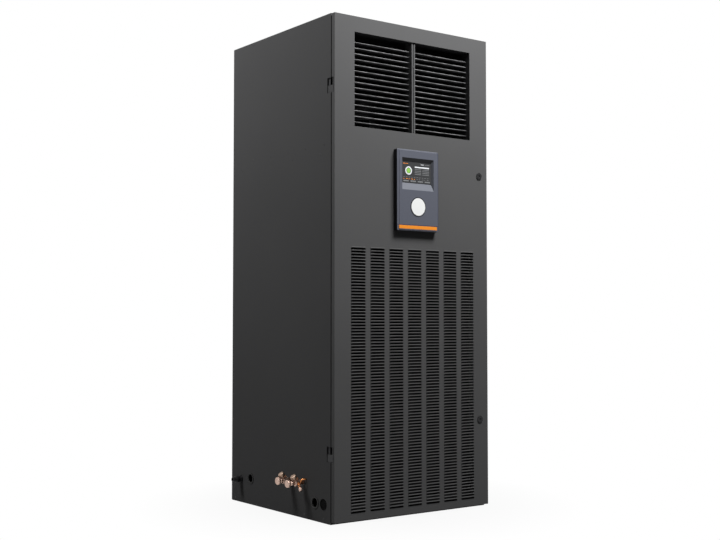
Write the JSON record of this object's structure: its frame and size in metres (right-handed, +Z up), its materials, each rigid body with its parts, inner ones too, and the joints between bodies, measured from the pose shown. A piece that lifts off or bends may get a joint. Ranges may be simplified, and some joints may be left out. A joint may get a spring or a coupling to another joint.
{
  "type": "in row cooling unit",
  "caption": "Tall floor-standing precision cooling cabinet with a hinged louvred door, upper discharge grille, control display, coil, fan and side pipe valves.",
  "frame": {"origin": "middle of the base tray's underside, on the floor, at half the width and half the depth from the door's face to the rear panel", "axes": "+Z up; -Y is the front, with the door and the display; +X to the right as seen from the front"},
  "size_m": [0.7708, 0.7128, 1.75],
  "materials": {
    "charcoal_coat": "fine textured charcoal powder coat",
    "door_coat": "fine textured charcoal powder coat",
    "grille_coat": "satin charcoal paint",
    "black_coat": "satin black paint",
    "galvanised": "galvanised sheet",
    "zinc_plate": "zinc plate",
    "steel": "bright steel",
    "copper": "bare copper, slightly dulled",
    "brass": "machined brass",
    "fin_aluminium": "thin mill-finish fins",
    "fan_composite": "glass-filled black plastic",
    "cast_aluminium": "cast aluminium",
    "rubber": "black rubber",
    "foam": "closed-cell foam strip",
    "filter_media": "pleated synthetic fibre",
    "drier_paint": "olive paint",
    "sheath": "heat-tinted steel sheath",
    "relay_plastic": "light grey moulded plastic",
    "gland_plastic": "black nylon",
    "yellow_plastic": "yellow moulded plastic",
    "red_plastic": "red moulded plastic",
    "display_plastic": "dark blue-grey moulded plastic",
    "screen_glass": "dark cover glass over a lit panel",
    "lens_white": "white status lens",
    "accent_orange": "orange trim strip",
    "latch_black": "black die-cast latch"
  },
  "bodies": {
    "root": {"base_tray": "galvanised", "left_panel": "charcoal_coat", "right_panel": "charcoal_coat", "rear_panel": "charcoal_coat", "top_panel": "charcoal_coat", "front_post_left": "galvanised", "front_post_right": "galvanised", "front_rails": "galvanised", "fan_deck": "galvanised", "door_gasket": "foam", "filter_frame": "galvanised", "filter_media": "filter_media", "filter_channels": "galvanised", "coil_fins": "fin_aluminium", "coil_end_plates": "galvanised", "coil_tubes": "copper", "drain_pan": "galvanised", "compressor_shell": "black_coat", "compressor_base": "black_coat", "compressor_mounts": "rubber", "gas_line": "copper", "liquid_line": "copper", "suction_line": "copper", "filter_drier": "drier_paint", "sight_glass": "brass", "expansion_valve": "brass", "gas_valve": "copper", "liquid_valve": "copper", "valve_caps": "copper", "charging_port": "copper", "grommets": "rubber", "cable_gland": "gland_plastic", "inlet_ring": "galvanised", "fan_motor": "cast_aluminium", "fan_bracket": "zinc_plate", "reheat_elements": "sheath", "control_box": "galvanised", "control_cover": "charcoal_coat", "din_rail": "zinc_plate", "contactors": "relay_plastic", "isolator_plate": "yellow_plastic", "cabinet_hinge_leaves": "zinc_plate", "hinge_pins": "steel", "panel_screws": "black_coat"},
    "door": {"door_skin": "door_coat", "intake_louvres": "door_coat", "door_stiffeners": "door_coat", "door_hinge_leaves": "zinc_plate", "grille_frame": "black_coat", "blades_left": "grille_coat", "blades_right": "grille_coat", "grille_mullion": "grille_coat", "display_housing": "display_plastic", "display_screen": "screen_glass", "status_lens": "lens_white", "accent_strip": "accent_orange"},
    "fan_rotor": {"fan_impeller": "fan_composite"},
    "isolator": {"isolator_knob": "red_plastic"},
    "lower_latch": {"latch_lower": "latch_black"},
    "upper_latch": {"latch_upper": "latch_black"}
  },
  "joints": [
    {"name": "door_hinge", "type": "hinge", "parent": "root", "child": "door", "pos_m": [-0.344, -0.333, 0.236], "axis": [0, 0, -1], "range_deg": [0, 105]},
    {"name": "lower_latch_turn", "type": "hinge", "parent": "door", "child": "lower_latch", "pos_m": [0.31, -0.33, 0.324], "axis": [0, 1, 0], "range_deg": [0, 90]},
    {"name": "upper_latch_turn", "type": "hinge", "parent": "door", "child": "upper_latch", "pos_m": [0.31, -0.33, 1.231], "axis": [0, 1, 0], "range_deg": [0, 90]},
    {"name": "fan_spin", "type": "hinge", "parent": "root", "child": "fan_rotor", "pos_m": [0, 0.02, 1.4], "axis": [0, 0, 1], "continuous": true},
    {"name": "isolator_turn", "type": "hinge", "parent": "root", "child": "isolator", "pos_m": [0.2115, -0.32, 1.135], "axis": [0, 1, 0], "range_deg": [0, 90]}
  ]
}
